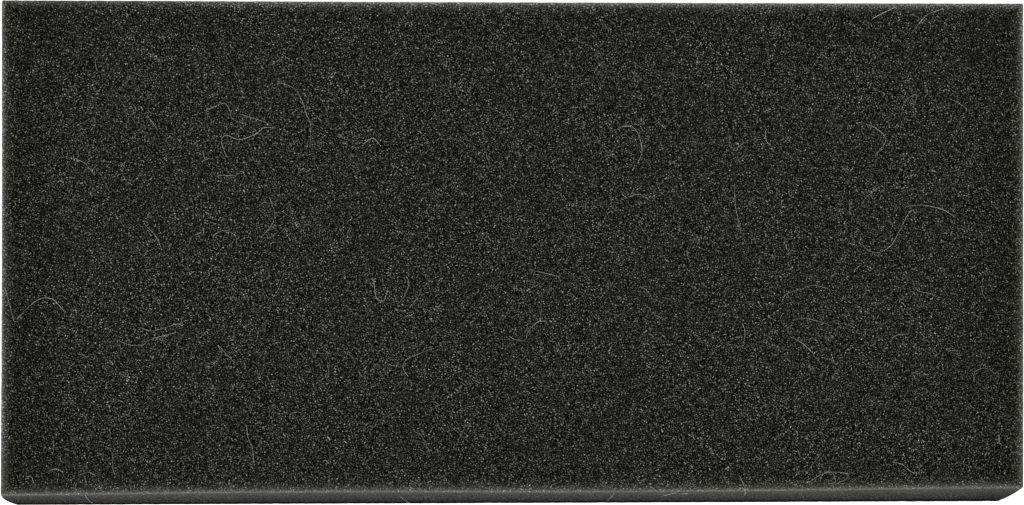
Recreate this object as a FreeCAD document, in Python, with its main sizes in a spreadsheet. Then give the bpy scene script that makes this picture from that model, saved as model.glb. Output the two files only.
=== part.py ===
import FreeCAD, Part
import math
import os

import Sketcher

# A chalkboard eraser for the hand, lying on its back: a thick foam pad, stuck with a double-sided sheet
# to a plywood board, which is screwed to a hardwood handle. Two pot magnets in the handle's back park it
# on a steel board. Millimetres. The origin is the middle of the back, X runs along the eraser, Y across
# it, and Z from the back up to the wiping face. The front is the long side towards -Y.

doc = FreeCAD.newDocument("chalkboard_eraser")

# ---------------------------------------------------------------- driving sizes

sizes = doc.addObject("Spreadsheet::Sheet", "Sizes")
DRIVING_SIZES = {
    # the wiping pad, and how far each layer behind it is set in
    "pad_length": 125,
    "pad_width": 60,
    "pad_thickness": 24,
    "pad_corner_radius": 1,
    "board_inset": 3,
    "board_thickness": 3,
    "board_corner_radius": 3,
    "sheet_inset": 0.5,
    "sheet_thickness": 0.5,
    # the handle and the finger groove along each of its long sides
    "handle_end_inset": 3,
    "handle_side_inset": 1,
    "handle_thickness": 18,
    "handle_corner_radius": 8,
    "handle_edge_radius": 2.5,
    "groove_end_land": 20,
    "groove_side_land": 1.9,
    "groove_depth": 4,
    "groove_lip_radius": 0.8,
    # the wood screws that hold the board, in from the handle's sides by screw_margin
    "screw_diameter": 3.5,
    "screw_head_diameter": 7,
    "screw_point_length": 3,
    "screw_margin": 12,
    "screw_clearance": 0.05,
    "wood_past_board_screw": 4.9,
    "head_sunk_by": 0.1,
    "recess_width": 1.1,
    "recess_span": 3.8,
    "recess_depth": 1.3,
    # the pot magnets in the handle's back, each with its own pan-head wood screw
    "magnet_spacing": 60,
    "cup_diameter": 20,
    "cup_height": 6,
    "cup_wall": 1.4,
    "cup_floor": 1.5,
    "cup_clearance": 0.1,
    "ring_clearance": 0.05,
    "pan_head_diameter": 7,
    "pan_head_height": 2.4,
    "pan_head_rounding": 1.2,
    "pan_head_clearance": 0.75,
    "wood_past_magnet_screw": 1.5,
}
for row, (alias, value) in enumerate(DRIVING_SIZES.items(), start=1):
    sizes.set(f"A{row}", str(value))
    sizes.setAlias(f"A{row}", alias)
doc.recompute()

# Sizes that follow from the driving ones.
BOARD_LENGTH = "(Sizes.pad_length - 2 * Sizes.board_inset)"
BOARD_WIDTH = "(Sizes.pad_width - 2 * Sizes.board_inset)"
SHEET_LENGTH = f"({BOARD_LENGTH} - 2 * Sizes.sheet_inset)"
SHEET_WIDTH = f"({BOARD_WIDTH} - 2 * Sizes.sheet_inset)"
HANDLE_LENGTH = f"({BOARD_LENGTH} - 2 * Sizes.handle_end_inset)"
HANDLE_WIDTH = f"({BOARD_WIDTH} - 2 * Sizes.handle_side_inset)"
BOARD_TOP = "(Sizes.handle_thickness + Sizes.board_thickness)"
PAD_BASE = f"({BOARD_TOP} + Sizes.sheet_thickness)"
GROOVE_HALF_MOUTH = "((Sizes.handle_thickness - Sizes.handle_edge_radius) / 2 - Sizes.groove_side_land)"
GROOVE_RADIUS = f"(({GROOVE_HALF_MOUTH} ^ 2 + Sizes.groove_depth ^ 2) / (2 * Sizes.groove_depth))"
SCREW_X = f"({HANDLE_LENGTH} / 2 - Sizes.screw_margin)"
SCREW_Y = f"({HANDLE_WIDTH} / 2 - Sizes.screw_margin)"
SCREW_HOLE_DIAMETER = "(Sizes.screw_diameter + 2 * Sizes.screw_clearance)"
HEAD_CONE_HEIGHT = "((Sizes.screw_head_diameter - Sizes.screw_diameter) / 2)"
BOARD_SCREW_REACH = "(Sizes.handle_thickness - Sizes.wood_past_board_screw)"
BOARD_SCREW_LENGTH = f"({BOARD_SCREW_REACH} + Sizes.board_thickness - Sizes.head_sunk_by)"
MAGNET_X = "(Sizes.magnet_spacing / 2)"
HEAD_SEAT_HEIGHT = "(Sizes.cup_height - Sizes.cup_floor)"
RING_BORE = "(Sizes.pan_head_diameter + 2 * Sizes.pan_head_clearance)"
MAGNET_SCREW_REACH = "(Sizes.handle_thickness - Sizes.cup_height - Sizes.wood_past_magnet_screw)"
MAGNET_SCREW_LENGTH = f"({MAGNET_SCREW_REACH} + Sizes.cup_floor)"

SAME = 1e-4  # two lengths closer than this are one


# ---------------------------------------------------------------- ways of drawing

def new_body(name):
    """Start a sub-part, labelled with the name of its file."""
    body = doc.addObject("PartDesign::Body", name)
    body.Label = name
    return body


def origin_item(body, role):
    """The plane or axis of the body's own origin that has this role."""
    return next(item for item in body.Origin.OriginFeatures if item.Role == role)


def new_sketch(body, name, role, across="0", along="0", height="0"):
    """A sketch on a plane of the body's origin, moved by expressions in the plane and off it."""
    sketch = body.newObject("Sketcher::SketchObject", name)
    sketch.AttachmentSupport = [(origin_item(body, role), "")]
    sketch.MapMode = "FlatFace"
    sketch.setExpression("AttachmentOffset.Base.x", across)
    sketch.setExpression("AttachmentOffset.Base.y", along)
    sketch.setExpression("AttachmentOffset.Base.z", height)
    return sketch


def dimension(sketch, constraint, expression):
    """Add a dimension and keep it equal to the expression."""
    index = sketch.addConstraint(constraint)
    sketch.setExpression(f"Constraints[{index}]", expression)


def draw_rectangle(sketch, length, width):
    """A rectangle centred on the sketch's origin."""
    corners = [FreeCAD.Vector(x, y, 0) for x, y in ((-9, -5), (9, -5), (9, 5), (-9, 5))]
    for side in range(4):
        sketch.addGeometry(Part.LineSegment(corners[side], corners[(side + 1) % 4]))
    for side in range(4):
        sketch.addConstraint(Sketcher.Constraint("Coincident", side, 2, (side + 1) % 4, 1))
    for side in (0, 2):
        sketch.addConstraint(Sketcher.Constraint("Horizontal", side))
        sketch.addConstraint(Sketcher.Constraint("Vertical", side + 1))
    sketch.addConstraint(Sketcher.Constraint("Symmetric", 0, 1, 2, 1, -1, 1))
    dimension(sketch, Sketcher.Constraint("DistanceX", 0, 1, 0, 2, 18), length)
    dimension(sketch, Sketcher.Constraint("DistanceY", 1, 1, 1, 2, 10), width)


def draw_outline(sketch, corners):
    """A closed outline of straight lines, each corner at two expressions from the sketch's origin."""
    count = len(corners)
    turn = 2 * math.pi / count
    spots = [FreeCAD.Vector(9 + 5 * math.cos(turn * i), 5 * math.sin(turn * i), 0) for i in range(count)]
    for i in range(count):
        sketch.addGeometry(Part.LineSegment(spots[i], spots[(i + 1) % count]))
    for i in range(count):
        sketch.addConstraint(Sketcher.Constraint("Coincident", i, 2, (i + 1) % count, 1))
    for i, (x, y) in enumerate(corners):
        for kind, axis, distance in (("DistanceX", -2, x), ("DistanceY", -1, y)):
            if distance == "0":
                sketch.addConstraint(Sketcher.Constraint("PointOnObject", i, 1, axis))
            else:
                dimension(sketch, Sketcher.Constraint(kind, -1, 1, i, 1, 1), distance)


def draw_circles(sketch, diameter, centres):
    """Equal circles, each centre at two expressions from the sketch's origin."""
    for i, (x, y) in enumerate(centres):
        sketch.addGeometry(Part.Circle(FreeCAD.Vector(9, 9, 0), FreeCAD.Vector(0, 0, 1), 2))
        dimension(sketch, Sketcher.Constraint("Diameter", i, 4), diameter)
        dimension(sketch, Sketcher.Constraint("DistanceX", -1, 1, i, 3, 9), x)
        if y == "0":
            sketch.addConstraint(Sketcher.Constraint("PointOnObject", i, 3, -1))
        else:
            dimension(sketch, Sketcher.Constraint("DistanceY", -1, 1, i, 3, 9), y)


def pad_up(body, sketch, height):
    """Raise the sketch by height."""
    pad = body.newObject("PartDesign::Pad", "Pad")
    pad.Profile = sketch
    pad.setExpression("Length", height)
    doc.recompute()
    return pad


def cut_in(body, sketch, depth, upwards=False):
    """Cut the sketch in by depth: downwards from it, or upwards."""
    volume_before = body.Shape.Volume
    pocket = body.newObject("PartDesign::Pocket", "Pocket")
    pocket.Profile = sketch
    pocket.setExpression("Length", depth)
    pocket.Reversed = upwards
    doc.recompute()
    assert body.Shape.Volume < volume_before, f"{pocket.Name} cuts nothing"
    return pocket


def revolve(body, sketch):
    """Turn the sketch once about its own upright axis."""
    revolution = body.newObject("PartDesign::Revolution", "Revolution")
    revolution.Profile = sketch
    revolution.ReferenceAxis = (sketch, ["V_Axis"])
    revolution.Angle = 360
    doc.recompute()
    return revolution


def round_edges(body, feature, radius, wanted):
    """Round those edges of the feature that the test picks."""
    names = [f"Edge{i}" for i, edge in enumerate(feature.Shape.Edges, start=1) if wanted(edge)]
    fillet = body.newObject("PartDesign::Fillet", "Fillet")
    fillet.Base = (feature, names)
    fillet.setExpression("Radius", radius)
    doc.recompute()
    return fillet


def upright(edge):
    """Whether the edge is a straight one along Z."""
    ends = [vertex.Point for vertex in edge.Vertexes]
    return len(ends) == 2 and abs(edge.Length - abs(ends[0].z - ends[1].z)) < SAME


def lies_at(height):
    """A test for edges that lie wholly at this height."""
    def wanted(edge):
        points = [edge.CenterOfMass] + [vertex.Point for vertex in edge.Vertexes]
        return all(abs(point.z - height) < SAME for point in points)
    return wanted


def place(body, x="0", y="0", z="0"):
    """Stand the body's own origin at this place in the eraser."""
    body.setExpression("Placement.Base.x", x)
    body.setExpression("Placement.Base.y", y)
    body.setExpression("Placement.Base.z", z)


def cut_cross_recess(body, height):
    """Two crossed slots in a screw head whose top is at this height."""
    sketch = new_sketch(body, "RecessSketch", "XY_Plane", height=height)
    draw_rectangle(sketch, "Sizes.recess_span", "Sizes.recess_width")
    slot = cut_in(body, sketch, "Sizes.recess_depth")
    pattern = body.newObject("PartDesign::PolarPattern", "PolarPattern")
    pattern.Originals = [slot]
    pattern.Axis = (origin_item(body, "Z_Axis"), [""])
    pattern.Angle = 90
    pattern.Occurrences = 2
    body.Tip = pattern
    doc.recompute()


# ---------------------------------------------------------------- wiping pad, sheet and board

def make_wiping_pad():
    """A block of foam, larger all round than the board that carries it."""
    body = new_body("wiping_pad")
    sketch = new_sketch(body, "PadSketch", "XY_Plane")
    draw_rectangle(sketch, "Sizes.pad_length", "Sizes.pad_width")
    block = pad_up(body, sketch, "Sizes.pad_thickness")
    round_edges(body, block, "Sizes.pad_corner_radius", upright)
    place(body, z=PAD_BASE)
    return body


def make_adhesive_sheet():
    """The double-sided sheet between pad and board, just inside the board's outline."""
    body = new_body("adhesive_sheet")
    sketch = new_sketch(body, "SheetSketch", "XY_Plane")
    draw_rectangle(sketch, SHEET_LENGTH, SHEET_WIDTH)
    sheet = pad_up(body, sketch, "Sizes.sheet_thickness")
    round_edges(body, sheet, "Sizes.board_corner_radius - Sizes.sheet_inset", upright)
    place(body, z=BOARD_TOP)
    return body


def screw_spots():
    """The four places of the board's screws, and the name of each."""
    for along, x in (("left", f"-{SCREW_X}"), ("right", SCREW_X)):
        for across, y in (("front", f"-{SCREW_Y}"), ("back", SCREW_Y)):
            yield f"{across}_{along}", x, y


def make_backing_board():
    """Thin plywood with a countersunk hole for each screw, its heads just under the sheet."""
    body = new_body("backing_board")
    sketch = new_sketch(body, "BoardSketch", "XY_Plane")
    draw_rectangle(sketch, BOARD_LENGTH, BOARD_WIDTH)
    board = pad_up(body, sketch, "Sizes.board_thickness")
    round_edges(body, board, "Sizes.board_corner_radius", upright)
    holes = new_sketch(body, "HolesSketch", "XY_Plane", height="Sizes.board_thickness")
    draw_circles(holes, SCREW_HOLE_DIAMETER, [(x, y) for _, x, y in screw_spots()])
    doc.recompute()
    hole = body.newObject("PartDesign::Hole", "Hole")
    hole.Profile = holes
    hole.DepthType = "ThroughAll"
    hole.ThreadType = "None"
    hole.setExpression("Diameter", SCREW_HOLE_DIAMETER)
    hole.HoleCutType = "Countersink"
    hole.HoleCutCountersinkAngle = 90
    hole.setExpression(
        "HoleCutDiameter",
        "Sizes.screw_head_diameter + 2 * Sizes.head_sunk_by + 2 * Sizes.screw_clearance",
    )
    doc.recompute()
    place(body, z="Sizes.handle_thickness")
    return body


def make_board_screw(name, x, y):
    """A countersunk wood screw. Its origin is the middle of the head's flat top."""
    body = new_body(name)
    sketch = new_sketch(body, "ScrewSketch", "XZ_Plane")
    shank_radius = "Sizes.screw_diameter / 2"
    draw_outline(sketch, [
        ("0", "0"),
        ("0", f"-{BOARD_SCREW_LENGTH}"),
        (shank_radius, f"Sizes.screw_point_length - {BOARD_SCREW_LENGTH}"),
        (shank_radius, f"-{HEAD_CONE_HEIGHT}"),
        ("Sizes.screw_head_diameter / 2", "0"),
    ])
    revolve(body, sketch)
    cut_cross_recess(body, "0")
    place(body, x, y, f"{BOARD_TOP} - Sizes.head_sunk_by")
    return body


# ---------------------------------------------------------------- handle

def magnet_sides():
    """The two magnets' names and their places along the handle."""
    return [("left", f"-{MAGNET_X}"), ("right", MAGNET_X)]


def make_handle():
    """The hardwood grip: rounded corners, a finger groove on each side, screw holes and magnet seats."""
    body = new_body("handle")
    sketch = new_sketch(body, "HandleSketch", "XY_Plane")
    draw_rectangle(sketch, HANDLE_LENGTH, HANDLE_WIDTH)
    block = pad_up(body, sketch, "Sizes.handle_thickness")
    corners = round_edges(body, block, "Sizes.handle_corner_radius", upright)
    edges = round_edges(body, corners, "Sizes.handle_edge_radius", lies_at(0))

    # The groove is a capsule-shaped cut: half a capsule turned about the groove's own axis, which lies
    # outside the handle's front by the part of the radius that isn't depth. It stands midway between the
    # handle's top and the rounding of its back edge.
    groove_sketch = new_sketch(
        body, "GrooveSketch", "XY_Plane",
        along=f"-({HANDLE_WIDTH} / 2 + {GROOVE_RADIUS} - Sizes.groove_depth)",
        height="(Sizes.handle_thickness + Sizes.handle_edge_radius) / 2",
    )
    up = FreeCAD.Vector(0, 0, 1)
    left_end = Part.Circle(FreeCAD.Vector(-30, 0, 0), up, 6)
    right_end = Part.Circle(FreeCAD.Vector(30, 0, 0), up, 6)
    groove_sketch.addGeometry(Part.LineSegment(FreeCAD.Vector(-36, 0, 0), FreeCAD.Vector(36, 0, 0)))
    groove_sketch.addGeometry(Part.ArcOfCircle(right_end, 0, math.pi / 2))
    groove_sketch.addGeometry(Part.LineSegment(FreeCAD.Vector(30, 6, 0), FreeCAD.Vector(-30, 6, 0)))
    groove_sketch.addGeometry(Part.ArcOfCircle(left_end, math.pi / 2, math.pi))
    for kind, *places in (
        ("Coincident", 0, 2, 1, 1),
        ("Tangent", 1, 2, 2, 1),
        ("Tangent", 2, 2, 3, 1),
        ("Coincident", 3, 2, 0, 1),
        ("PointOnObject", 1, 3, -1),
        ("PointOnObject", 3, 3, -1),
        ("Symmetric", 0, 1, 0, 2, -1, 1),
        ("Horizontal", 0),
        ("Equal", 1, 3),
    ):
        groove_sketch.addConstraint(Sketcher.Constraint(kind, *places))
    dimension(groove_sketch, Sketcher.Constraint("Radius", 1, 6), GROOVE_RADIUS)
    dimension(groove_sketch, Sketcher.Constraint("DistanceX", 0, 1, 0, 2, 72),
              f"{HANDLE_LENGTH} - 2 * Sizes.groove_end_land")
    volume_before = edges.Shape.Volume
    groove = body.newObject("PartDesign::Groove", "FingerGroove")
    groove.Profile = groove_sketch
    groove.ReferenceAxis = (groove_sketch, ["H_Axis"])
    groove.Angle = 360
    doc.recompute()
    assert groove.Shape.Volume < volume_before, "the finger groove cuts nothing"
    both = body.newObject("PartDesign::Mirrored", "FingerGrooves")
    both.Originals = [groove]
    both.MirrorPlane = (origin_item(body, "XZ_Plane"), [""])
    body.Tip = both
    doc.recompute()
    half_width = max(vertex.Y for vertex in both.Shape.Vertexes)

    def on_a_groove_lip(edge):
        points = [edge.CenterOfMass] + [vertex.Point for vertex in edge.Vertexes]
        low = sizes.get("handle_edge_radius") + SAME
        high = sizes.get("handle_thickness") - SAME
        return all(abs(abs(point.y) - half_width) < SAME and low < point.z < high for point in points)

    round_edges(body, both, "Sizes.groove_lip_radius", on_a_groove_lip)

    screw_holes = new_sketch(body, "ScrewHolesSketch", "XY_Plane", height="Sizes.handle_thickness")
    draw_circles(screw_holes, SCREW_HOLE_DIAMETER, [(x, y) for _, x, y in screw_spots()])
    cut_in(body, screw_holes, BOARD_SCREW_REACH)

    seats = new_sketch(body, "MagnetSeatsSketch", "XY_Plane")
    magnet_spots = [(x, "0") for _, x in magnet_sides()]
    draw_circles(seats, "Sizes.cup_diameter + 2 * Sizes.cup_clearance", magnet_spots)
    cut_in(body, seats, "Sizes.cup_height", upwards=True)
    pilots = new_sketch(body, "MagnetPilotsSketch", "XY_Plane", height="Sizes.cup_height")
    draw_circles(pilots, SCREW_HOLE_DIAMETER, magnet_spots)
    cut_in(body, pilots, MAGNET_SCREW_REACH, upwards=True)
    return body


# ---------------------------------------------------------------- pot magnets

def make_magnet_cup(name, x):
    """A steel pot, open downwards, with a screw hole through its floor."""
    body = new_body(name)
    sketch = new_sketch(body, "CupSketch", "XZ_Plane")
    outer = "Sizes.cup_diameter / 2"
    inner = "Sizes.cup_diameter / 2 - Sizes.cup_wall"
    hole = f"{SCREW_HOLE_DIAMETER} / 2"
    draw_outline(sketch, [
        (outer, "0"),
        (outer, "Sizes.cup_height"),
        (hole, "Sizes.cup_height"),
        (hole, HEAD_SEAT_HEIGHT),
        (inner, HEAD_SEAT_HEIGHT),
        (inner, "0"),
    ])
    revolve(body, sketch)
    place(body, x)
    return body


def make_magnet_ring(name, x):
    """The ferrite ring in the pot, flush with the pot's rim."""
    body = new_body(name)
    sketch = new_sketch(body, "RingSketch", "XZ_Plane")
    outer = "Sizes.cup_diameter / 2 - Sizes.cup_wall - Sizes.ring_clearance"
    bore = f"{RING_BORE} / 2"
    draw_outline(sketch, [(bore, "0"), (outer, "0"), (outer, HEAD_SEAT_HEIGHT), (bore, HEAD_SEAT_HEIGHT)])
    revolve(body, sketch)
    place(body, x)
    return body


def make_magnet_screw(name, x):
    """A pan-head wood screw, point up. Its origin is where the head seats on the pot's floor."""
    body = new_body(name)
    sketch = new_sketch(body, "ScrewSketch", "XZ_Plane")
    head_radius = "Sizes.pan_head_diameter / 2"
    shank_radius = "Sizes.screw_diameter / 2"
    draw_outline(sketch, [
        ("0", f"-{MAGNET_SCREW_LENGTH}"),
        (shank_radius, f"Sizes.screw_point_length - {MAGNET_SCREW_LENGTH}"),
        (shank_radius, "0"),
        (head_radius, "0"),
        (head_radius, "Sizes.pan_head_height"),
        ("0", "Sizes.pan_head_height"),
    ])
    screw = revolve(body, sketch)
    round_edges(body, screw, "Sizes.pan_head_rounding", lies_at(sizes.get("pan_head_height")))
    cut_cross_recess(body, "Sizes.pan_head_height")
    body.Placement.Rotation = FreeCAD.Rotation(FreeCAD.Vector(1, 0, 0), 180)
    place(body, x, z=HEAD_SEAT_HEIGHT)
    return body


# ---------------------------------------------------------------- the eraser

pieces = [make_wiping_pad(), make_adhesive_sheet(), make_backing_board(), make_handle()]
for spot, screw_x, screw_y in screw_spots():
    pieces.append(make_board_screw(f"board_screw_{spot}", screw_x, screw_y))
for side, magnet_x in magnet_sides():
    pieces.append(make_magnet_cup(f"magnet_cup_{side}", magnet_x))
    pieces.append(make_magnet_ring(f"magnet_ring_{side}", magnet_x))
    pieces.append(make_magnet_screw(f"magnet_screw_{side}", magnet_x))
doc.recompute()

for item in doc.Objects:
    assert not {"Invalid", "Error"} & set(item.State), f"{item.Name} failed: {item.State}"
for piece in pieces:
    assert not piece.Shape.isNull() and piece.Shape.isValid(), f"{piece.Label} has no valid shape"
    assert len(piece.Shape.Solids) == 1, f"{piece.Label} isn't one solid"

os.makedirs("parts", exist_ok=True)
for piece in pieces:
    piece.Shape.exportStep(f"parts/{piece.Label}.step")
    print(f"{piece.Label}: {piece.Shape.Volume:.1f} mm3")
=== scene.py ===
import math
import random

import bmesh
import bpy
import numpy as np
from mathutils import Matrix, Vector


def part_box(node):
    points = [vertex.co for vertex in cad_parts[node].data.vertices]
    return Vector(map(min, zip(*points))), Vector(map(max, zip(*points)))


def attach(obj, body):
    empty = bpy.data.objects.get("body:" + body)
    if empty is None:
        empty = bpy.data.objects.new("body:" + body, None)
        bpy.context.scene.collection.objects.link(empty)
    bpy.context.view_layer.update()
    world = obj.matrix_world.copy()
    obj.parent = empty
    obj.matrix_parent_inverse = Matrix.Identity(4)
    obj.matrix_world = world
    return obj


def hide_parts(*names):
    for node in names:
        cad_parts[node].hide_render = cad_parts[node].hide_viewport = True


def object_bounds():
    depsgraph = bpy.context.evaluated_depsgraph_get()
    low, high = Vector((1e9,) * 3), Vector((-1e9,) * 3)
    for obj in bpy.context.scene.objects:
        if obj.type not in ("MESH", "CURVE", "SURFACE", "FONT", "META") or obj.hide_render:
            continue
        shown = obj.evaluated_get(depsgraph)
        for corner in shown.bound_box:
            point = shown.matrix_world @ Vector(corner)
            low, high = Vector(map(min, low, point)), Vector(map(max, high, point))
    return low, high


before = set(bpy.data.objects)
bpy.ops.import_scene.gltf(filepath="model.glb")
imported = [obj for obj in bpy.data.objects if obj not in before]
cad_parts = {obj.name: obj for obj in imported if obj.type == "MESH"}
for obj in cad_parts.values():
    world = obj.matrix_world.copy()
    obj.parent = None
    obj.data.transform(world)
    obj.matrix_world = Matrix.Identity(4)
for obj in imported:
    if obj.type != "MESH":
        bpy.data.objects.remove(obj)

cad_low, cad_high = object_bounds()
MM = 0.001

# ------------------------------------------------------------------------------------------------------
# The camera. A long lens looks down on the wiping face from a metre above it, from a little to the left
# and in front, so that the pad's front side shows as a thin strip.

STAND_OFF = 1000 * MM  # above the wiping face
TO_THE_LEFT = 46.94 * MM
IN_FRONT = 86.45 * MM
LENS = 288.77  # on a 36 mm wide sensor
YAW, PITCH, ROLL = -0.04668, 0.08542, -0.00532

camera = bpy.data.objects.new("camera", bpy.data.cameras.new("camera"))
camera.data.lens = LENS
camera.data.clip_start, camera.data.clip_end = 0.05, 50
turn = Matrix.Rotation(YAW, 4, "Y") @ Matrix.Rotation(PITCH, 4, "X") @ Matrix.Rotation(ROLL, 4, "Z")
camera.matrix_world = Matrix.Translation((-TO_THE_LEFT, -IN_FRONT, cad_high.z + STAND_OFF)) @ turn
bpy.context.scene.collection.objects.link(camera)
bpy.context.scene.camera = camera

# ------------------------------------------------------------------------------------------------------
# The studio. A white dome lights the eraser evenly, and a soft box in front of it, high up on the left,
# gives its shapes some shade. The floor is a sheet of white acrylic, lit from below, with a faint mottle.

SKY_STRENGTH = 0.5
SOFT_BOX_SIZE = 0.7
SOFT_BOX_POWER = 11.5
SOFT_BOX_PLACE = Vector((-0.45, -0.6, 1.3))
SKY_WHITE = (1.0, 1.0, 0.99)
FLOOR_REACH = 6.0
FLOOR_GLOW = 0.78
MOTTLE = 9 * MM

bpy.context.scene.view_settings.view_transform = "Standard"


class Mix:
    """A value somewhere in a material. Sums on it add the Math nodes that work them out."""

    def __init__(self, tree, socket=None):
        self.tree = tree
        self.socket = socket

    def node(self, kind, settings=(), inputs=(), output=0):
        """Add a node: its settings first, then its sockets, each a number, a colour or another value."""
        made = self.tree.nodes.new(kind)
        for name, value in dict(settings).items():
            setattr(made, name, value)
        for name, value in dict(inputs).items():
            if isinstance(value, Mix):
                self.tree.links.new(value.socket, made.inputs[name])
            else:
                made.inputs[name].default_value = value
        return Mix(self.tree, made.outputs[output])

    def math(self, operation, *values):
        return self.node("ShaderNodeMath", {"operation": operation}, dict(enumerate(values)))

    def __add__(self, other):
        return self.math("ADD", self, other)

    def __radd__(self, other):
        return self.math("ADD", other, self)

    def __sub__(self, other):
        return self.math("SUBTRACT", self, other)

    def __rsub__(self, other):
        return self.math("SUBTRACT", other, self)

    def __mul__(self, other):
        return self.math("MULTIPLY", self, other)

    def __rmul__(self, other):
        return self.math("MULTIPLY", other, self)

    def __truediv__(self, other):
        return self.math("DIVIDE", self, other)

    def __rtruediv__(self, other):
        return self.math("DIVIDE", other, self)

    def __pow__(self, other):
        return self.math("POWER", self, other)

    def __neg__(self):
        return self.math("MULTIPLY", self, -1.0)

    def size(self):
        """The value without its sign."""
        return self.math("ABSOLUTE", self)

    def exp(self):
        return self.math("EXPONENT", self)

    def sine(self):
        return self.math("SINE", self)

    def angle(self, across):
        """The angle, in radians, of a slope that rises by this value over that distance across."""
        return self.math("ARCTAN2", self, across)

    def least(self, other):
        return self.math("MINIMUM", self, other)

    def most(self, other):
        return self.math("MAXIMUM", self, other)

    def rise(self, start, end):
        """0 below start and 1 above end, smoothly between them."""
        return self.node(
            "ShaderNodeMapRange",
            {"interpolation_type": "SMOOTHSTEP"},
            {"Value": self, "From Min": start, "From Max": end},
        )

    def fall(self, start, end):
        """1 below start and 0 above end, smoothly between them."""
        return 1 - self.rise(start, end)

    def stretch(self, x, y, z):
        """A place with each of its axes scaled."""
        return self.node("ShaderNodeVectorMath", {"operation": "MULTIPLY"}, {0: self, 1: (x, y, z)})

    def axes(self):
        """The x, y and z of a place."""
        made = self.tree.nodes.new("ShaderNodeSeparateXYZ")
        self.tree.links.new(self.socket, made.inputs[0])
        return [Mix(self.tree, made.outputs[i]) for i in range(3)]

    def noise(self, size, detail=2.0):
        """Noise from 0 to 1 at this place, whose lumps are about as large as size."""
        return self.node("ShaderNodeTexNoise", (), {"Vector": self, "Scale": 1 / size, "Detail": detail})

    def cells(self, size, output=0):
        """Cells about as large as size: the distance to each one's middle, or with output 1 its shade."""
        return self.node("ShaderNodeTexVoronoi", (), {"Vector": self, "Scale": 1 / size}, output)

    def blend(self, low, high):
        """The colour low where the value is 0, and high where it is 1."""
        made = self.tree.nodes.new("ShaderNodeMix")
        made.data_type = "RGBA"
        for index, value in ((0, self), (6, low), (7, high)):
            if isinstance(value, Mix):
                self.tree.links.new(value.socket, made.inputs[index])
            else:
                made.inputs[index].default_value = value if index == 0 else (*value, 1.0)
        return Mix(self.tree, made.outputs[2])


def new_material(name, **fixed):
    """A material, its shader, and the place on the piece that its patterns are laid out from."""
    material = bpy.data.materials.new(name)
    material.use_nodes = True
    shader = material.node_tree.nodes["Principled BSDF"]
    for socket, value in fixed.items():
        shader.inputs[socket.replace("_", " ")].default_value = value
    place = Mix(material.node_tree).node("ShaderNodeTexCoord", output=3)
    return material, shader, place


def feed(shader, **values):
    """Link values that vary over the surface to the shader's sockets."""
    for socket, value in values.items():
        shader.id_data.links.new(value.socket, shader.inputs[socket.replace("_", " ")])


def bump(height, depth, strength):
    """Turn a height from 0 to 1 into a normal, for bumps this deep."""
    return height.node("ShaderNodeBump", (), {"Height": height, "Distance": depth, "Strength": strength})


world = bpy.data.worlds.new("dome")
world.use_nodes = True
world.node_tree.nodes["Background"].inputs["Color"].default_value = (*SKY_WHITE, 1.0)
world.node_tree.nodes["Background"].inputs["Strength"].default_value = SKY_STRENGTH
bpy.context.scene.world = world

soft_box = bpy.data.objects.new("soft_box", bpy.data.lights.new("soft_box", "AREA"))
soft_box.data.shape = "SQUARE"
soft_box.data.size = SOFT_BOX_SIZE
soft_box.data.energy = SOFT_BOX_POWER
soft_box.location = SOFT_BOX_PLACE
soft_box.rotation_euler = (-SOFT_BOX_PLACE).to_track_quat("-Z", "Y").to_euler()
bpy.context.scene.collection.objects.link(soft_box)

floor_mesh = bpy.data.meshes.new("acrylic_floor")
floor_corners = [(x * FLOOR_REACH, y * FLOOR_REACH, 0) for x, y in ((-1, -1), (1, -1), (1, 1), (-1, 1))]
floor_mesh.from_pydata(floor_corners, [], [(0, 1, 2, 3)])
floor = bpy.data.objects.new("acrylic_floor", floor_mesh)
bpy.context.scene.collection.objects.link(floor)
acrylic, acrylic_shader, place = new_material("white_acrylic", Roughness=0.9, Emission_Strength=FLOOR_GLOW)
mottle = place.noise(MOTTLE)
feed(
    acrylic_shader,
    Base_Color=mottle.blend((0.58, 0.58, 0.575), (0.62, 0.62, 0.615)),
    Emission_Color=mottle.blend((0.96, 0.96, 0.95), SKY_WHITE),
)
floor_mesh.materials.append(acrylic)

# ------------------------------------------------------------------------------------------------------
# The handle. A block of steamed beech, routed with a finger groove along each side, rounded on its
# back, sanded and oiled. Hands have darkened the grooves, painted shade darkens them further with
# depth, and chalk has settled thinly on the sides.

RING_SPACING = 2.4 * MM
PITH = (7 * MM, -70 * MM)  # in Y and Z, well below the block, so the rings cross its ends in flat arcs
RAY = (2.2 * MM, 0.5 * MM, 3.5 * MM)  # along the grain, round the rings and across them
WANDER = 2.6 * MM  # how far the rings stray from true circles
GROOVE_DEEP = (0.3 * MM, 3.6 * MM)  # in from the side, where a groove starts and where it is deepest
GROOVE_END = (34 * MM, 40 * MM)
LIGHT_BEECH = (0.56, 0.345, 0.18)
DARK_BEECH = (0.41, 0.225, 0.105)
LATE_BEECH = (0.32, 0.155, 0.068)
RAY_BROWN = (0.26, 0.12, 0.052)
# The brown of hand grime, and of the painted shade in the grooves.
GRIME_AND_GROOVE_SHADE = (0.17, 0.085, 0.042)
CHALK = (0.7, 0.68, 0.63)


def dress(node, material):
    """Give a piece of the frame its material."""
    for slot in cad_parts[node].material_slots:
        slot.material = material


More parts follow.
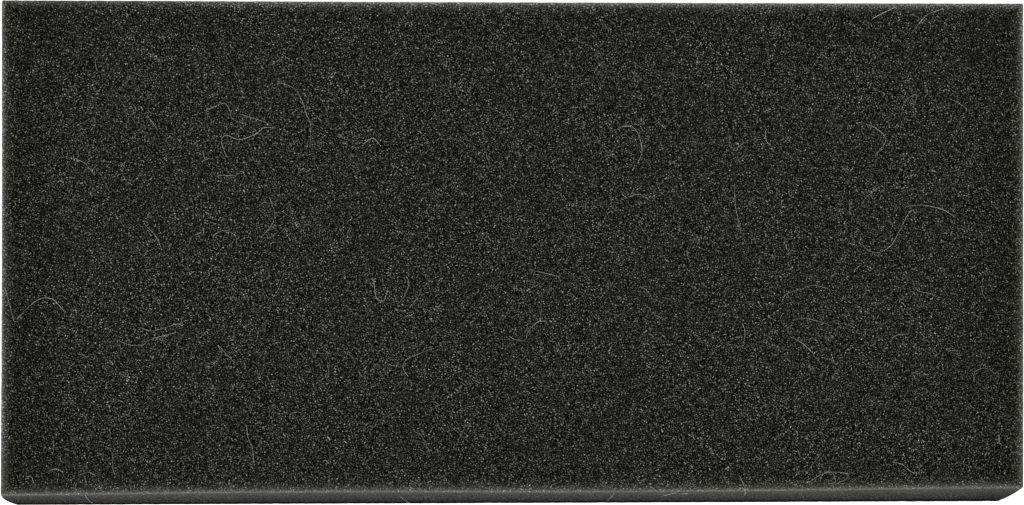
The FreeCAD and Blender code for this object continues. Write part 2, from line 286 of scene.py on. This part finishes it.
handle_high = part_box("handle")[1]
beech, beech_shader, place = new_material("oiled_beech", Specular_IOR_Level=0.4)
x, y, z = place.axes()
wander = place.stretch(0.12, 1, 1).noise(14 * MM, 1) * WANDER
off_pith_y = y - PITH[0]
off_pith_z = z - PITH[1]
from_pith = (off_pith_y ** 2 + off_pith_z ** 2) ** 0.5 + wander
round_pith = off_pith_y.angle(off_pith_z) * -PITH[1]
ring = (from_pith * (2 * math.pi / RING_SPACING)).sine()
late_wood = (ring * 0.5 + 0.5) ** 3
fibre = place.stretch(0.03, 1, 1).noise(0.45 * MM, 3)
streak = place.stretch(0.05, 1, 1).noise(3.5 * MM, 2)
ray_axes = {"X": x / RAY[0], "Y": round_pith / RAY[1], "Z": from_pith / RAY[2]}
ray_place = x.node("ShaderNodeCombineXYZ", (), ray_axes)
ray = ray_place.cells(1.0).fall(0.14, 0.34)
colour = (fibre * 0.55 + streak * 0.45).rise(0.3, 0.72).blend(DARK_BEECH, LIGHT_BEECH)
colour = (late_wood * 0.45).blend(colour, LATE_BEECH)
colour = (ray * 0.5).blend(colour, RAY_BROWN)
# Painted shade: the grooves painted darker the deeper they go, along with the hands' grime beside them.
deep = (handle_high.y - y.size()).rise(*GROOVE_DEEP) * x.size().fall(*GROOVE_END) * z.rise(3 * MM, 4 * MM)
near_hand = (y.size() - 24 * MM).rise(0, 3 * MM) * x.size().fall(28 * MM, 50 * MM)
grime_and_groove_shade = place.noise(6 * MM, 3).rise(0.3, 0.75) * near_hand * 0.3 + deep * 0.35
colour = grime_and_groove_shade.blend(colour, GRIME_AND_GROOVE_SHADE)
chalk = place.noise(5 * MM, 4).rise(0.42, 0.85) * z.rise(6 * MM, 18 * MM) * (1 - 0.8 * deep)
colour = (chalk * 0.2).blend(colour, CHALK)
feed(
    beech_shader,
    Base_Color=colour,
    Roughness=0.42 + 0.16 * fibre + 0.12 * ray + 0.25 * chalk - 0.15 * grime_and_groove_shade,
    Normal=bump(fibre * 0.5 - ray * 0.4 - late_wood * 0.15, 0.05 * MM, 0.6),
)
dress("handle", beech)

# ------------------------------------------------------------------------------------------------------
# The backing board. Three plies of birch, sawn to size and glued and screwed to the handle: its edges
# show the pale outer plies, the middle ply's end grain and the two dark glue lines.

GLUE_LINE = 0.09 * MM
GLUE_BROWN = (0.10, 0.055, 0.03)
OUTER_PLY = 0.85 * MM
SAW_BLUR = 0.02 * MM

board_low, board_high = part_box("backing_board")
birch, birch_shader, place = new_material("birch_plywood", Specular_IOR_Level=0.35)
x, y, z = place.axes()
ply_depth = (z - board_low.z).least(board_high.z - z)
middle = ply_depth.rise(OUTER_PLY - SAW_BLUR, OUTER_PLY + SAW_BLUR)
glue = (ply_depth - OUTER_PLY).size().fall(GLUE_LINE * 0.4, GLUE_LINE)
long_grain = place.stretch(0.05, 1, 1).noise(0.5 * MM, 3)
end_grain = place.noise(0.22 * MM, 2)
outer = long_grain.rise(0.3, 0.7).blend((0.60, 0.44, 0.265), (0.76, 0.61, 0.42))
inner = end_grain.rise(0.35, 0.7).blend((0.30, 0.185, 0.10), (0.56, 0.40, 0.25))
colour = middle.blend(outer, inner)
colour = (glue * 0.8).blend(colour, GLUE_BROWN)
chalk = place.noise(4 * MM, 4).rise(0.42, 0.85)
colour = (chalk * 0.25).blend(colour, (0.78, 0.76, 0.71))
feed(
    birch_shader,
    Base_Color=colour,
    Roughness=0.6 + 0.2 * end_grain,
    Normal=bump(long_grain * 0.4 + end_grain * middle * 0.6 - glue * 0.5, 0.08 * MM, 0.7),
)
dress("backing_board", birch)

# ------------------------------------------------------------------------------------------------------
# The screws. Zinc-plated steel wood screws: four countersunk ones hold the board, and a pan-headed one
# holds each magnet. The plating is a little cloudy, and yellow and blue in turn.

BLUE_ZINC = (0.60, 0.63, 0.68)
YELLOW_ZINC = (0.72, 0.69, 0.58)

zinc, zinc_shader, place = new_material("zinc_plating", Metallic=1.0)
cloud = place.noise(1.6 * MM, 3)
scuff = place.stretch(1, 1, 0.2).noise(0.18 * MM, 2)
feed(
    zinc_shader,
    Base_Color=cloud.rise(0.35, 0.65).blend(BLUE_ZINC, YELLOW_ZINC),
    Roughness=0.26 + 0.22 * scuff,
    Normal=bump(scuff, 0.01 * MM, 0.5),
)
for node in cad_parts:
    if "screw" in node:
        dress(node, zinc)

# ------------------------------------------------------------------------------------------------------
# The magnets. A nickel-plated steel pot, turned and tumbled, holds a ring of sintered ferrite, ground
# flat and left bare. Both are flush with the handle's back.

TOOL_MARK = 0.12 * MM
BRIGHT_NICKEL = (0.70, 0.67, 0.61)
DULL_NICKEL = (0.50, 0.46, 0.40)
FERRITE_GRAIN = 0.14 * MM

nickel, nickel_shader, place = new_material("nickel_plating", Metallic=1.0)
x, y, z = place.axes()
cup_low, cup_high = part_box("magnet_cup_right")
from_axis = ((x.size() - (cup_low.x + cup_high.x) / 2) ** 2 + y ** 2) ** 0.5
turn = from_axis / TOOL_MARK
turn_inputs = {"W": turn, "Scale": 1.0, "Detail": 2.0}
turning = turn.node("ShaderNodeTexNoise", {"noise_dimensions": "1D"}, turn_inputs)
tarnish = place.noise(2.2 * MM, 4)
feed(
    nickel_shader,
    Base_Color=tarnish.rise(0.4, 0.75).blend(BRIGHT_NICKEL, DULL_NICKEL),
    Roughness=0.16 + 0.14 * turning + 0.16 * tarnish,
    Normal=bump(turning, 0.008 * MM, 0.5),
)

ferrite, ferrite_shader, place = new_material("ferrite", Specular_IOR_Level=0.5)
grit = place.cells(FERRITE_GRAIN, output=1)
grinding = place.stretch(0.08, 1, 1).noise(0.1 * MM, 2)
feed(
    ferrite_shader,
    Base_Color=(grit.axes()[0] * 0.6 + grinding * 0.4).blend((0.028, 0.029, 0.032), (0.085, 0.085, 0.09)),
    Roughness=0.38 + 0.3 * grinding,
    Normal=bump(grinding, 0.02 * MM, 0.5),
)
for side in ("left", "right"):
    dress(f"magnet_cup_{side}", nickel)
    dress(f"magnet_ring_{side}", ferrite)

# ------------------------------------------------------------------------------------------------------
# The adhesive sheet. A thin milky film, sticky on both faces, that holds the pad to the board. Its edge
# shows all round between them, and has picked up dust.

MILKY_FILM = (0.66, 0.63, 0.55)
DUSTY_FILM = (0.34, 0.32, 0.28)

film, film_shader, place = new_material("adhesive_film", Specular_IOR_Level=0.5)
dust = place.noise(0.8 * MM, 5)
feed(
    film_shader,
    Base_Color=dust.rise(0.42, 0.7).blend(MILKY_FILM, DUSTY_FILM),
    Roughness=0.35 + 0.4 * dust,
    Normal=bump(dust, 0.05 * MM, 0.5),
)
dress("adhesive_sheet", film)

# ------------------------------------------------------------------------------------------------------
# The wiping pad. A block of charcoal open-cell foam, sawn from a sheet, so its sides are not quite square
# or straight, and drawn in towards the glued foot at both ends. Its rims are worn soft, and painted pale
# as a highlight.

PAD_LOW, PAD_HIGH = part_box("wiping_pad")
HALF_LENGTH = (PAD_HIGH.x - PAD_LOW.x) / 2
HALF_WIDTH = (PAD_HIGH.y - PAD_LOW.y) / 2
THICKNESS = PAD_HIGH.z - PAD_LOW.z
RIM_RADII = (0.25 * MM, 0.25 * MM, 0.5 * MM)  # along X, Y and Z
RIM_STEPS = [0, 0.12, 0.25, 0.4, 0.6, 0.9, 1.3, 1.8, 2.4]  # mm in from an edge
FACE_STEP = 0.55 * MM
SIDE_STEP = 0.9 * MM
CUT_LEAN = 0.19 * MM  # the saw's errors at the wiping face: a lean, a keystone and a taper
CUT_KEYSTONE = 0.125 * MM
CUT_TAPER = 0.21 * MM
SAW_WAVE = 0.1 * MM  # a slow wave along the front, this far from one crest to the next
SAW_WAVE_LENGTH = 90 * MM
SAW_WAVE_START = -4.5 * MM
BACK_HOLLOW = 0.05 * MM
LEFT_BULGE = 0.08 * MM
FRONT_STEP_BACK = 0.07 * MM
FOOT_TURN = 0.06 * MM
LEFT_DRAWN_IN = 1.6 * MM  # by the glue at the foot, over a length that these powers set
RIGHT_DRAWN_IN = 0.85 * MM
DRAWN_IN_HEIGHT = 2.5
DRAWN_IN_LENGTH = 8
SWELL = 0.12 * MM
CELL_ROUGHNESS = 0.035 * MM


def grid_lines(half, step):
    """Places of the grid lines from -half to half, close together near both ends."""
    near = [inset * MM for inset in RIM_STEPS]
    middle_half = half - near[-1]
    count = round(2 * middle_half / step)
    middle = [-middle_half + 2 * middle_half * i / count for i in range(1, count)]
    return [-half + inset for inset in near] + middle + [half - inset for inset in reversed(near)]


def block_shell(lines):
    """The corners and faces of a closed block with these grid lines along X, Y and Z."""
    index = {}
    faces = []
    counts = [len(line) for line in lines]

    def corner(at):
        if at not in index:
            index[at] = len(index)
        return index[at]

    for axis in range(3):
        first, second = (axis + 1) % 3, (axis + 2) % 3
        for end in (0, counts[axis] - 1):
            for i in range(counts[first] - 1):
                for j in range(counts[second] - 1):
                    ring = []
                    for a, b in ((i, j), (i + 1, j), (i + 1, j + 1), (i, j + 1)):
                        at = [0, 0, 0]
                        at[axis], at[first], at[second] = end, a, b
                        ring.append(corner(tuple(at)))
                    faces.append(ring if end else ring[::-1])
    places = np.array([[lines[k][at[k]] for k in range(3)] for at in index])
    return places, faces


def rounded(places, half, radii):
    """Round the edges of a block of these half sizes, centred on the origin, by a radius for each axis."""
    radii = np.array(radii)
    inner = np.clip(places, radii - half, half - radii)
    out = (places - inner) / radii
    length = np.linalg.norm(out, axis=1, keepdims=True)
    return inner + out / np.maximum(length, 1e-9) * radii


def sawn(places):
    """Bend the true block, whose foot is at z = 0, to the shape it was sawn and glued to."""
    x, y, z = places.T
    along, across, up = x / HALF_LENGTH, y / HALF_WIDTH, z / THICKNESS
    drawn_in = np.clip(1 - up, 0, 1) ** DRAWN_IN_HEIGHT
    left, right = np.clip(-along, 0, 1) ** DRAWN_IN_LENGTH, np.clip(along, 0, 1) ** DRAWN_IN_LENGTH
    new_x = x + up * (CUT_LEAN * across + CUT_KEYSTONE * along * across)
    new_x += drawn_in * (LEFT_DRAWN_IN * left - RIGHT_DRAWN_IN * right)
    new_x += SWELL * along + LEFT_BULGE * left * (1 - across ** 2)
    front, back = np.clip(-across, 0, 1), np.clip(across, 0, 1)
    wave = SAW_WAVE * np.sin(2 * np.pi * (x - SAW_WAVE_START) / SAW_WAVE_LENGTH)
    hollow = BACK_HOLLOW * (0.1 - along ** 2)
    new_y = y + up * (-CUT_TAPER * along * across - front * wave - back * hollow)
    new_y += SWELL * across + FOOT_TURN * (1 - up) * along + FRONT_STEP_BACK * up * front
    return np.stack([new_x, new_y, z], axis=1)


z_lines = grid_lines(THICKNESS / 2, SIDE_STEP)
y_lines = grid_lines(HALF_WIDTH, FACE_STEP)
true_places, pad_faces = block_shell([grid_lines(HALF_LENGTH, FACE_STEP), y_lines, z_lines])
half_block = np.array([HALF_LENGTH, HALF_WIDTH, THICKNESS / 2])
pad_places = rounded(true_places, half_block, RIM_RADII)
pad_places[:, 2] += THICKNESS / 2
cell_chance = np.random.default_rng(4)
outward = true_places / half_block
outward = np.sign(outward) * (np.abs(outward) > 0.999)
open_cells = (outward[:, 2:] > -0.5) * CELL_ROUGHNESS
pad_places += outward * open_cells * cell_chance.uniform(-1, 0.4, size=(len(pad_places), 1))
pad_places = sawn(pad_places) + np.array([0, 0, PAD_LOW.z])
pad_mesh = bpy.data.meshes.new("foam_pad")
pad_mesh.from_pydata(pad_places.tolist(), [], pad_faces)
true_place = pad_mesh.attributes.new("true_place", "FLOAT_VECTOR", "POINT")
true_place.data.foreach_set("vector", true_places.astype(np.float32).ravel())
pad_mesh.shade_smooth()
pad = bpy.data.objects.new("foam_pad", pad_mesh)
bpy.context.scene.collection.objects.link(pad)

# The foam is near black where a pore opens, with shade painted into the pores, and grey on its struts.
# Its sides are painted paler towards the top, a painted sheen with a little dust, and its rims paler
# still with a painted highlight. The face is painted darker towards its ends and edges, and the foot of
# the sides is painted dark with shade.

STRUT = 0.135 * MM  # the fine struts, the larger curls that they form, and single bright cells
CURL = 0.8 * MM
GLINT = 0.3 * MM
MATTED = 5 * MM  # patches where the struts lie flat
GRAIN_TURN = (0.6, 0.4, 0.7)
FOAM_TONE = 0.0166
# Painted shade in the pores: a little taken off the whole tone, so that the darkest places go near black.
PORE_SHADE = 0.0019
# Painted sheen: the sides painted paler towards the top, where their fuzz catches the light, with a little
# dust.
SIDE_SHEEN_AND_DUST = 0.057
SIDE_SHEEN_REACH = 0.42  # of the thickness
# Painted highlight on the face's rims, where the rounded edges catch the light.
RIM_HIGHLIGHT = 0.162
RIM_HIGHLIGHT_REACH = 0.33 * MM
END_SHADE = 0.22  # how much darker the face is by its ends, its back edge and its front edge
BACK_SHADE = 0.08
FRONT_SHADE = 0.04
DARKEST = 0.001
PALEST = 0.6

foam, foam_shader, place = new_material("charcoal_foam", Roughness=0.9, Specular_IOR_Level=0.0)
x, y, z = place.node("ShaderNodeAttribute", {"attribute_name": "true_place"}, output=1).axes()
from_end = HALF_LENGTH - x.size()
from_side = HALF_WIDTH - y.size()
from_top = THICKNESS / 2 - z
from_rim = from_end.least(from_side).most(from_top).least(from_end.most(from_side))
down = from_top / THICKNESS

turn_inputs = {0: place, "Rotation": GRAIN_TURN}
turned = place.node("ShaderNodeVectorRotate", {"rotation_type": "EULER_XYZ"}, turn_inputs)
strut = turned.noise(STRUT, 0) - 0.5
curl = ((turned.noise(CURL, 0) - 0.5).size() / -0.03).exp() - 0.3
glint = turned.cells(GLINT, output=1).axes()[0] - 0.5
matted = turned.noise(MATTED, 2) - 0.5
grain = (strut * 10.0 + curl * 0.9 + glint * 0.6) * (1 - 0.5 * matted) + matted * 0.3
# The face is painted darker towards its ends, its back edge and its front edge.
face_edge_darkening = 1 - END_SHADE * from_end.fall(1 * MM, 11 * MM)
face_edge_darkening = face_edge_darkening - BACK_SHADE * (HALF_WIDTH - y).fall(1 * MM, 10 * MM)
face_edge_darkening = face_edge_darkening - FRONT_SHADE * (HALF_WIDTH + y).fall(4 * MM, 18 * MM) * (1.6 - x / HALF_LENGTH)
tone = (grain.exp() * FOAM_TONE * face_edge_darkening - PORE_SHADE).most(DARKEST)

# The painted sheen on the sides, paler towards the top and speckled like dust.
side_sheen_and_dust = (from_top.rise(0.1 * MM, 0.5 * MM) * (down / -SIDE_SHEEN_REACH).exp()) * SIDE_SHEEN_AND_DUST
side_sheen_and_dust = side_sheen_and_dust * (0.2 + 1.6 * turned.noise(0.7 * MM, 2))
# The painted rim highlight, stronger or weaker along each rim and flecked by the grain.
rim_reach = RIM_HIGHLIGHT_REACH + 0.04 * MM * y.fall(-25 * MM, -20 * MM)
rim_highlight_gain = 1 + 0.1 * x.fall(-60 * MM, -50 * MM)
rim_highlight_gain = rim_highlight_gain + y.rise(20 * MM, 25 * MM) * (0.65 * x.rise(-48 * MM, -22 * MM) - 0.15)
rim_highlight = (-from_rim / rim_reach).exp() * (RIM_HIGHLIGHT * from_top.fall(1 * MM, 4 * MM)) * rim_highlight_gain
fleck = ((strut * 5 + glint * 0.6) * (0.35 + 0.65 * y.rise(-28 * MM, -25 * MM))).exp()
rim_highlight = rim_highlight * (0.3 + 0.58 * fleck)

# Painted shade at the foot: the sides painted darker towards the glued foot, and the underside paler
# again.
painted_foot_shade = (1 - 0.18 * down.rise(0.5, 0.65)) * (1 - 0.87 * down.rise(0.7, 0.94))
foot = painted_foot_shade + 0.6 * down.rise(0.985, 1)
pale = ((tone + side_sheen_and_dust + rim_highlight) * foot).least(PALEST)
grey = down.rise(0.1, 0.5)
red = pale * (0.985 + 0.01 * grey) - 0.0003
green = pale * 1.01
blue = (pale * (0.925 + 0.055 * grey) - 0.0033 * (1 - grey)).most(DARKEST)
colour = pale.node("ShaderNodeCombineColor", (), {"Red": red, "Green": green, "Blue": blue})
feed(foam_shader, Base_Color=colour, Normal=bump(curl * 0.6 + strut, 0.12 * MM, 0.5))
pad_mesh.materials.append(foam)
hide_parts("wiping_pad")
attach(pad, "root")

# ------------------------------------------------------------------------------------------------------
# The lint. Pale cotton fibres from cloths and sleeves, caught on the foam's open cells: each is a fine
# curled hair that lies on the wiping face or hangs down the front side. The bold ones pass through the
# places listed, and the faint ones are scattered at random.

LINT_STEP = 0.16 * MM
LINT_SIDES = 3
MICRON = 0.001 * MM
BOLD_LIFT = 0.1 * MM  # how far the middle of a fibre stands off the foam
FAINT_LIFT = 0.06 * MM
WOBBLE = 0.06  # in mm, a random shift of each place of a bold fibre
FAINT_COUNT = 70
SOILED_PATCH = 1.8 * MM
SOILED_COTTON = (0.36, 0.36, 0.32)
WHITE_COTTON = (0.92, 0.92, 0.86)
BOLD_HAIRS = [  # its radius in microns, then the places that it passes through, in mm on the face
    (19, (-35.0, 11.0), (-35.8, 13.0), (-35.0, 13.7), (-33.6, 13.1), (-31.5, 13.9), (-30.6, 14.6),
     (-29.4, 14.6), (-30.6, 15.4), (-33.6, 16.3)),
    (13, (-37.6, 16.8), (-35.5, 17.6), (-34.7, 16.8), (-34.3, 15.6), (-32.5, 15.0)),
    (16, (-37.9, 11.8), (-37.6, 10.7), (-37.0, 11.0)),
    (14, (-28.7, 20.2), (-27.1, 19.5), (-25.9, 18.0), (-25.3, 16.2), (-24.8, 14.9), (-24.9, 12.3)),
    (13, (-29.6, 22.4), (-28.7, 23.0), (-28.3, 22.6), (-28.1, 21.4)),
    (13, (-51.0, 23.1), (-51.2, 22.6), (-50.9, 21.7)),
    (14, (-39.8, 0.1), (-39.5, 1.2), (-38.2, 1.8)),
    (16, (-53.9, 11.0), (-52.3, 10.2), (-51.2, 8.9)),
    (16, (-36.3, 8.7), (-34.1, 8.7), (-33.3, 9.2), (-32.6, 8.3)),
    (16, (-30.0, 6.2), (-29.2, 3.9), (-29.7, 2.5), (-31.0, 1.2)),
    (13, (-45.3, 2.7), (-43.8, 1.3), (-43.0, -0.4)),
    (13, (-36.9, 1.3), (-35.5, 2.0), (-34.1, 1.3), (-33.8, 0.1)),
    (17, (-44.6, 15.8), (-43.4, 14.4)),
    (17, (13.4, 14.8), (14.6, 14.7), (15.4, 13.6), (15.8, 11.9), (15.2, 10.0)),
    (16, (14.1, 6.1), (15.4, 6.4), (16.7, 5.5)),
    (16, (-18.4, 12.5), (-17.2, 13.2), (-16.1, 12.3)),
    (21, (44.1, 27.9), (45.5, 28.7), (47.4, 29.6)),
    (21, (49.1, 26.3), (50.4, 28.0), (51.3, 28.7), (53.1, 29.3)),
    (16, (30.9, 14.3), (31.1, 13.0), (31.7, 12.3)),
    (14, (41.9, 15.3), (43.4, 15.1), (45.0, 14.2), (45.6, 12.9), (44.4, 11.2)),
    (14, (45.0, 7.4), (43.5, 6.1), (42.8, 4.9)),
    (17, (42.2, 0.4), (44.3, -0.7), (46.2, 0.1), (47.3, 2.0), (48.5, 3.9), (49.1, 4.6)),
    (17, (48.3, 4.8), (50.1, 5.1), (52.5, 4.6), (54.2, 3.7)),
    (13, (53.9, 18.0), (55.6, 16.9), (55.1, 15.9)),
    (17, (-60.7, -8.7), (-58.2, -6.6), (-56.5, -6.4), (-54.8, -8.1)),
    (13, (-62.1, -4.9), (-61.7, -6.4), (-61.2, -8.0), (-61.0, -9.2)),
    (14, (-45.5, -10.0), (-44.1, -10.3), (-41.3, -9.4), (-40.4, -9.7), (-40.7, -8.7)),
    (16, (-48.2, -11.6), (-46.8, -11.9), (-45.3, -11.9), (-44.4, -11.3), (-41.3, -10.5)),
    (14, (-36.9, -14.3), (-35.7, -13.0), (-36.2, -12.1), (-34.1, -14.2)),
    (14, (-32.8, -21.7), (-32.5, -23.3), (-32.0, -24.8), (-31.9, -26.6)),
    (16, (-53.2, -27.9), (-52.1, -27.5), (-51.1, -27.8)),
    (17, (-56.7, -27.4), (-55.9, -27.1), (-55.1, -27.5)),
    (13, (-59.7, -28.3), (-59.0, -28.0), (-58.6, -28.8)),
    (14, (-28.9, -5.5), (-28.4, -3.7), (-27.7, -2.6), (-27.1, -2.6)),
    (16, (-17.2, -3.9), (-17.0, -5.5), (-16.7, -6.5), (-15.9, -6.5), (-15.3, -4.8)),
    (16, (-13.1, -3.6), (-12.9, -4.5), (-13.5, -6.0), (-14.3, -7.1)),
    (14, (-11.2, -4.9), (-11.6, -6.1), (-12.9, -7.4)),
    (17, (1.7, -2.8), (3.6, -3.2), (5.6, -3.6)),
    (16, (-0.6, -10.9), (0.0, -11.5), (1.1, -11.5), (1.8, -10.4), (2.9, -9.4), (4.0, -9.1)),
    (16, (-10.0, -12.5), (-12.9, -13.7), (-13.6, -14.8), (-13.0, -15.9)),
    (14, (27.9, -9.4), (28.3, -10.5), (28.1, -12.0)),
    (15, (34.2, -9.2), (33.8, -9.8), (33.0, -9.8), (32.6, -8.8), (33.1, -8.2)),
    (16, (34.1, -9.2), (35.5, -8.8), (37.7, -9.3), (38.9, -9.9)),
    (16, (33.7, -11.0), (35.2, -12.0), (36.6, -13.2)),
    (16, (46.1, -11.8), (46.8, -11.0), (48.4, -10.8)),
    (14, (56.3, -16.7), (56.5, -15.6), (57.7, -15.0), (58.9, -15.6)),
    (17, (59.4, -23.1), (59.2, -24.3)),
    (16, (37.4, -25.6), (36.3, -26.9), (35.4, -28.0)),
    (16, (37.4, -29.0), (37.5, -28.2), (38.6, -27.6), (39.2, -28.9), (38.2, -29.2)),
    (16, (36.0, -29.0), (36.9, -28.4), (37.9, -27.9), (39.4, -27.8), (40.6, -28.0), (40.7, -28.5),
     (39.1, -29.3)),
    (14, (34.6, -24.9), (34.9, -25.8)),
    (12, (32.8, -6.8), (33.4, -5.8), (35.1, -5.3), (36.6, -4.7), (38.5, -5.2)),
    (15, (-52.4, -28.2), (-52.2, -29.4)),
    (12, (-56.3, -23.6), (-56.2, -24.6), (-56.4, -25.4)),
    (11, (-22.9, -14.2), (-22.7, -15.4), (-22.9, -16.4)),
    (12, (47.7, 17.0), (48.6, 18.3), (49.6, 18.6), (49.3, 17.0)),
    (11, (27.2, 7.9), (27.2, 5.0), (27.9, 1.5)),
    (12, (40.3, 10.0), (41.1, 9.1), (41.8, 9.8)),
    (12, (57.1, 2.0), (57.5, 1.2), (56.9, 0.5)),
    (15, (30.8, 16.5), (31.7, 16.8)),
    (14, (46.2, -26.5), (47.4, -26.8), (48.7, -27.7), (49.3, -27.8)),
    (45, (-39.7, -29.8), (-39.5, -29.8)),
    (22, (27.5, -28.2), (27.8, -29.0), (28.3, -29.9)),
]
SIDE_HAIRS = [  # the same for the pad's front side, with places in mm along it and down it
    (14, (-52.2, 0.5), (-52.0, 9.0), (-51.6, 20.0)),
    (14, (-13.6, 8.0), (-12.9, 15.0), (-12.1, 22.0)),
    (11, (12.4, 2.0), (12.3, 18.0)),
    (20, (18.7, 7.5), (19.2, 3.8), (19.7, 0.8), (20.3, 2.8), (20.9, 4.2), (21.6, 4.2)),
    (20, (28.4, 0.4), (28.8, 8.0)),
]


def hair(start, heading, length, curl, change):
    """Places along a fibre that turns by curl, which drifts by change."""
    x, y = start
    places = []
    steps = max(6, round(length / LINT_STEP))
    for i in range(steps + 1):
        places.append(Vector((x, y, 0)))
        heading += (curl + change * math.sin(2 * math.pi * i / steps)) * LINT_STEP
        x += math.cos(heading) * LINT_STEP
        y += math.sin(heading) * LINT_STEP
    return places


def smooth_path(corners):
    """Closely spaced places along a smooth curve through the corners."""
    ends = [corners[0] * 2 - corners[1], *corners, corners[-1] * 2 - corners[-2]]
    places = []
    for before, a, b, after in zip(ends, ends[1:], ends[2:], ends[3:]):
        count = max(3, round((b - a).length / LINT_STEP))
        for i in range(count):
            t = i / count
            bend = (2 * before - 5 * a + 4 * b - after) * t * t + (3 * a - before - 3 * b + after) * t ** 3
            places.append(a + ((b - before) * t + bend) / 2)
    return places + [corners[-1]]


def tube(mesh, points, radius):
    """Add a fine closed tube along the points, tapered at both ends."""
    rings = []
    for i, point in enumerate(points):
        ahead = points[min(i + 1, len(points) - 1)] - points[max(i - 1, 0)]
        side = ahead.cross(Vector((0.1, 0.3, 1))).normalized()
        up = side.cross(ahead).normalized()
        thin = radius * (0.4 if i in (0, len(points) - 1) else 1)
        angles = [2 * math.pi * k / LINT_SIDES for k in range(LINT_SIDES)]
        spokes = [math.cos(angle) * side + math.sin(angle) * up for angle in angles]
        rings.append([mesh.verts.new(point + thin * spoke) for spoke in spokes])
    for here, following in zip(rings, rings[1:]):
        for k in range(LINT_SIDES):
            after = (k + 1) % LINT_SIDES
            mesh.faces.new((here[k], here[after], following[after], following[k]))
    mesh.faces.new(rings[0][::-1])
    mesh.faces.new(rings[-1])


def lifts(places, lift):
    """How far each place of a fibre stands off the foam, with both its ends caught in it."""
    last = len(places) - 1
    return [lift * (1 - (2 * i / last - 1) ** 4) for i in range(last + 1)]


def lay(mesh, places, radius, lift):
    """Lay a fibre on the wiping face."""
    heights = [PAD_HIGH.z + off for off in lifts(places, lift)]
    tube(mesh, [Vector((place.x, place.y, height)) for place, height in zip(places, heights)], radius)


def hang(mesh, places, radius, lift):
    """Lay a fibre on the pad's front side, which the saw and the glue have bent."""
    true = [(place.x, -HALF_WIDTH, THICKNESS - place.y) for place in places]
    bent = sawn(np.array(true)) + np.array([0, 0, PAD_LOW.z])
    bent[:, 1] -= lifts(places, lift)
    tube(mesh, [Vector(point) for point in bent], radius)


chance = random.Random(11)
lint_bmesh = bmesh.new()
for radius, *corners in BOLD_HAIRS:
    shakes = [Vector((chance.gauss(0, WOBBLE), chance.gauss(0, WOBBLE))) for _ in corners]
    corners = [(Vector(corner) + shake) * MM for corner, shake in zip(corners, shakes)]
    lay(lint_bmesh, smooth_path(corners), radius * MICRON, BOLD_LIFT)
for radius, *corners in SIDE_HAIRS:
    hang(lint_bmesh, smooth_path([Vector(corner) * MM for corner in corners]), radius * MICRON, BOLD_LIFT)
for _ in range(FAINT_COUNT):
    start = chance.uniform(-59, 59) * MM, chance.uniform(-26, 26) * MM
    curl = chance.choice((-1, 1)) / (chance.uniform(0.7, 6.0) * MM)
    heading = chance.uniform(0, 2 * math.pi)
    length = chance.uniform(0.8, 4.0) * MM
    places = hair(start, heading, length, curl, chance.uniform(-0.8, 0.8) / MM)
    lay(lint_bmesh, places, chance.uniform(6, 11) * MICRON, FAINT_LIFT)
lint_mesh = bpy.data.meshes.new("lint")
lint_bmesh.to_mesh(lint_mesh)
lint_bmesh.free()
lint_mesh.shade_smooth()
lint = bpy.data.objects.new("lint", lint_mesh)
bpy.context.scene.collection.objects.link(lint)
cotton, cotton_shader, place = new_material("cotton_fibre", Roughness=0.6, Specular_IOR_Level=0.4)
patch = place.noise(SOILED_PATCH, 2)
feed(cotton_shader, Base_Color=patch.rise(0.35, 0.65).blend(SOILED_COTTON, WHITE_COTTON))
lint_mesh.materials.append(cotton)
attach(lint, "root")
